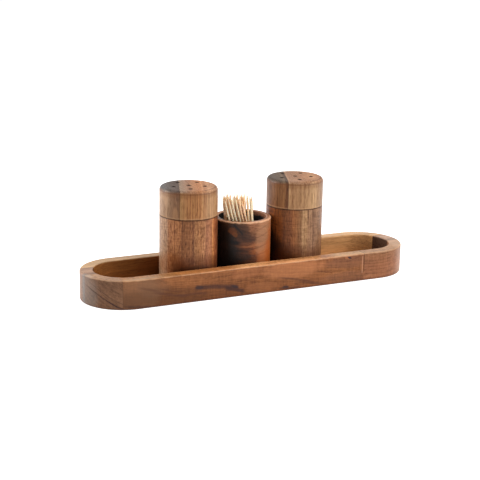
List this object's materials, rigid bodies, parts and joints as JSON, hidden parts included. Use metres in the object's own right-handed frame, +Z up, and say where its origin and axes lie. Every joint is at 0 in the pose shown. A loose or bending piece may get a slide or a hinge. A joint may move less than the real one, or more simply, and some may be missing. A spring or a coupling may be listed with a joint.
{
  "type": "salt and pepper set with tray",
  "caption": "Wooden salt and pepper shakers with pull-off caps and a toothpick cup, standing in a long shallow tray with rounded ends.",
  "frame": {"origin": "middle of the tray's flat underside, on the surface that the tray stands on", "axes": "+X along the tray to the right as seen from the front, +Y to the back, +Z up"},
  "size_m": [0.306, 0.073, 0.092],
  "materials": {
    "tray_end_wood": "oiled hardwood, satin",
    "tray_front_wood": "oiled hardwood, satin",
    "tray_middle_wood": "oiled hardwood, satin",
    "tray_back_wood": "oiled hardwood, satin",
    "salt_body_wood": "oiled hardwood, satin",
    "pepper_body_wood": "oiled hardwood, satin",
    "cap_narrow_wood": "oiled hardwood, satin",
    "cap_wide_wood": "oiled hardwood, satin",
    "cup_wood": "oiled hardwood, satin",
    "pick_wood": "bare pale wood, matt",
    "silicone": "translucent silicone, matt"
  },
  "bodies": {
    "tray": {"tray_front_left_board": "tray_end_wood", "tray_front_board": "tray_front_wood", "tray_front_right_board": "tray_front_wood", "tray_middle_board": "tray_middle_wood", "tray_back_board": "tray_back_wood"},
    "salt_shaker": {"salt_shaker_body": "salt_body_wood"},
    "salt_cap": {"salt_cap_narrow_stave": "cap_narrow_wood", "salt_cap_wide_stave": "cap_wide_wood", "salt_seal_ring": "silicone"},
    "pepper_shaker": {"pepper_shaker_body": "pepper_body_wood"},
    "pepper_cap": {"pepper_cap_narrow_stave": "cap_narrow_wood", "pepper_cap_wide_stave": "cap_wide_wood", "pepper_seal_ring": "silicone"},
    "cup": {"toothpick_cup": "cup_wood"},
    "picks": {"toothpicks": "pick_wood"}
  },
  "joints": [
    {"name": "salt_shaker_lift", "type": "slide", "parent": "tray", "child": "salt_shaker", "axis": [0, 0, 1], "range_m": [0, 0.09]},
    {"name": "salt_cap_pull", "type": "slide", "parent": "salt_shaker", "child": "salt_cap", "axis": [0, 0, 1], "range_m": [0, 0.05]},
    {"name": "pepper_shaker_lift", "type": "slide", "parent": "tray", "child": "pepper_shaker", "axis": [0, 0, 1], "range_m": [0, 0.09]},
    {"name": "pepper_cap_pull", "type": "slide", "parent": "pepper_shaker", "child": "pepper_cap", "axis": [0, 0, 1], "range_m": [0, 0.05]},
    {"name": "cup_lift", "type": "slide", "parent": "tray", "child": "cup", "axis": [0, 0, 1], "range_m": [0, 0.09]},
    {"name": "picks_lift", "type": "slide", "parent": "cup", "child": "picks", "axis": [0, 0, 1], "range_m": [0, 0.07]}
  ]
}
